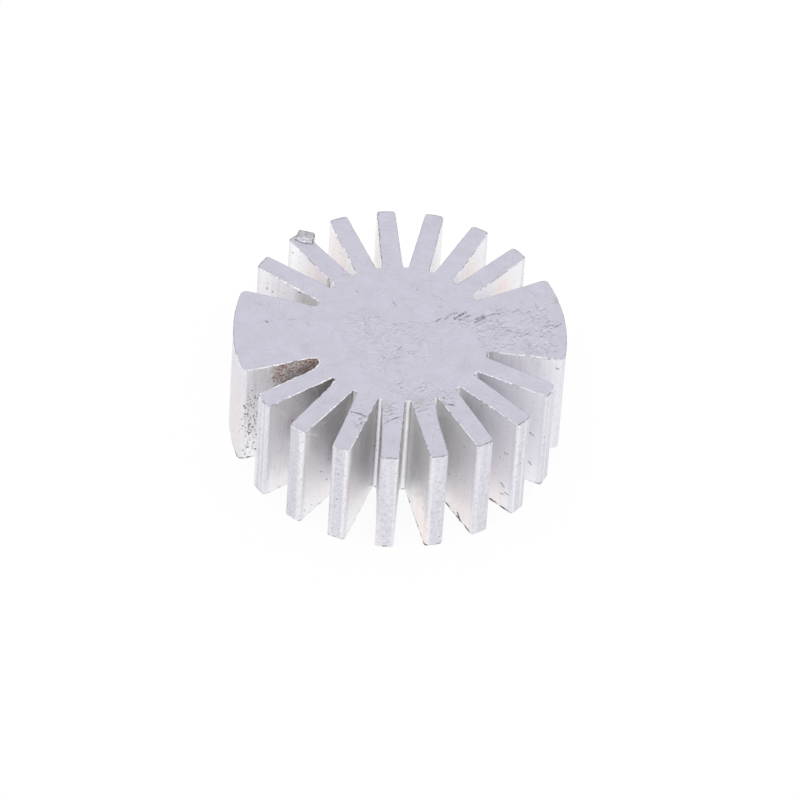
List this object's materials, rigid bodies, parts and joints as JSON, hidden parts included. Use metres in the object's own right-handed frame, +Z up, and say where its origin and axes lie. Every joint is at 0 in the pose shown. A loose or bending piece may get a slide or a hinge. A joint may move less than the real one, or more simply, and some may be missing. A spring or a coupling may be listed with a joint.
{
  "type": "sunflower heat sink",
  "caption": "Round aluminium sunflower heat sink: a solid core ringed by thin tapered fins and wide wedges, cut from an extrusion to cool an LED or chip seated on its flat end.",
  "frame": {"origin": "centre of the core on the lower end face, which the part stands on", "axes": "+Z up along the extrusion, +Y towards the middle fin of the shorter row, the wedges to the left and right along X"},
  "size_m": [0.025, 0.0249, 0.0105],
  "materials": {
    "aluminium": "bare metal, matte saw-cut ends, drawn lines down the sides"
  },
  "bodies": {
    "root": {"heat_sink": "aluminium"}
  },
  "joints": []
}
